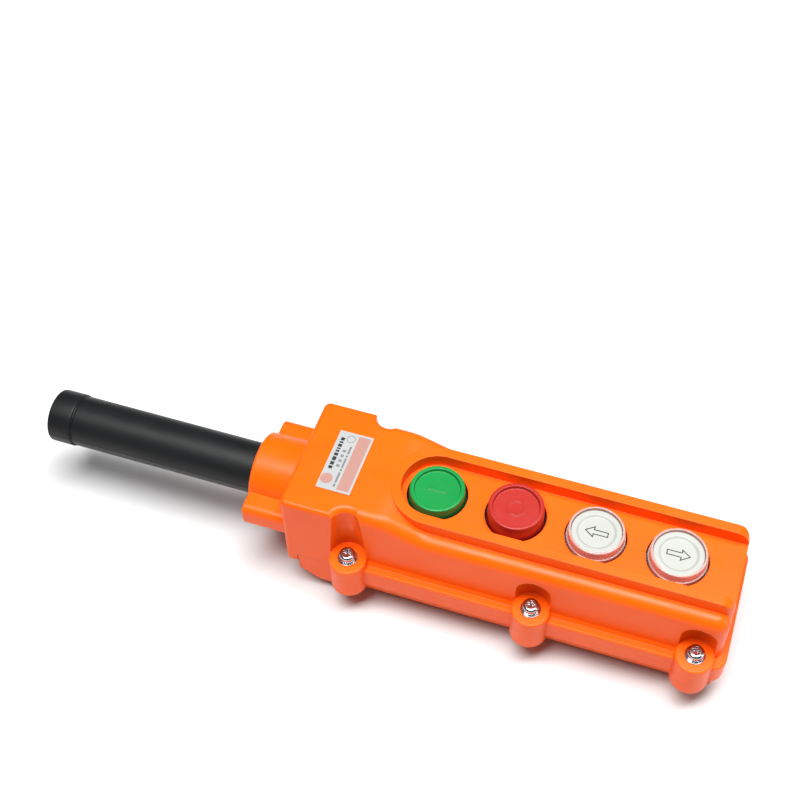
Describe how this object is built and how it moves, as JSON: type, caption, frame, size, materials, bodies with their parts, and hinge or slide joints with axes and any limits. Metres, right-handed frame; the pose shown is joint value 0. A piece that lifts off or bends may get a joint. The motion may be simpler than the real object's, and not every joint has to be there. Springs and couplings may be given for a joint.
{
  "type": "pendant control station",
  "caption": "Hand-held hoist pendant with a two-part moulded housing, push buttons set between guard rails and a rubber cable sleeve.",
  "frame": {"origin": "centre of the bounding box at the plane the station lies on, the crest of the two rear ridges", "axes": "+X along the length from the cable sleeve to the far end, +Y across the housing, +Z out of the button face"},
  "size_m": [0.311, 0.074, 0.0599],
  "materials": {
    "housing": "satin moulded ABS, orange",
    "rubber": "satin black rubber",
    "zinc": "bright zinc plate",
    "brass": "plain brass",
    "label": "satin anodised plate",
    "green": "gloss green plastic",
    "red": "gloss red plastic",
    "clear": "translucent plastic over the orange panel",
    "white": "gloss white plastic",
    "black_plastic": "matt black phenolic",
    "spring": "bright spring wire",
    "steel": "zinc plated sheet"
  },
  "bodies": {
    "housing": {"front_housing": "housing", "rear_cover": "housing", "housing_gasket": "rubber", "cover_screws": "zinc", "cover_washers": "zinc", "cover_lock_washers": "zinc", "cover_inserts": "brass", "cable_sleeve": "rubber", "gland_plate": "steel", "gland_screws": "zinc", "cable_clamp_bar": "black_plastic", "cable_clamp_screws": "zinc", "rating_label": "label", "button_seals": "rubber", "contact_block_bodies": "black_plastic", "contact_block_bases": "black_plastic", "contact_block_screws": "zinc", "fixed_contacts": "brass", "terminal_screws": "zinc", "start_return_spring": "spring", "stop_return_spring": "spring", "up_return_spring": "spring", "down_return_spring": "spring"},
    "start_button": {"start_button_cap": "green", "start_plunger": "black_plastic", "start_contact_bridge": "brass"},
    "stop_button": {"stop_button_cap": "red", "stop_plunger": "black_plastic", "stop_contact_bridge": "brass"},
    "up_button": {"up_button_cap": "clear", "up_plunger": "black_plastic", "up_contact_bridge": "brass", "up_legend_disc": "white"},
    "down_button": {"down_button_cap": "clear", "down_plunger": "black_plastic", "down_contact_bridge": "brass", "down_legend_disc": "white"}
  },
  "joints": [
    {"name": "start_press", "type": "slide", "parent": "housing", "child": "start_button", "axis": [0, 0, -1], "range_m": [0, 0.0035], "stiffness_N_per_m": 900, "springref_m": -0.004, "deforming": ["start_return_spring"]},
    {"name": "stop_press", "type": "slide", "parent": "housing", "child": "stop_button", "axis": [0, 0, -1], "range_m": [0, 0.0035], "stiffness_N_per_m": 900, "springref_m": -0.004, "deforming": ["stop_return_spring"]},
    {"name": "up_press", "type": "slide", "parent": "housing", "child": "up_button", "axis": [0, 0, -1], "range_m": [0, 0.0035], "stiffness_N_per_m": 900, "springref_m": -0.004, "deforming": ["up_return_spring"]},
    {"name": "down_press", "type": "slide", "parent": "housing", "child": "down_button", "axis": [0, 0, -1], "range_m": [0, 0.0035], "stiffness_N_per_m": 900, "springref_m": -0.004, "deforming": ["down_return_spring"]}
  ]
}
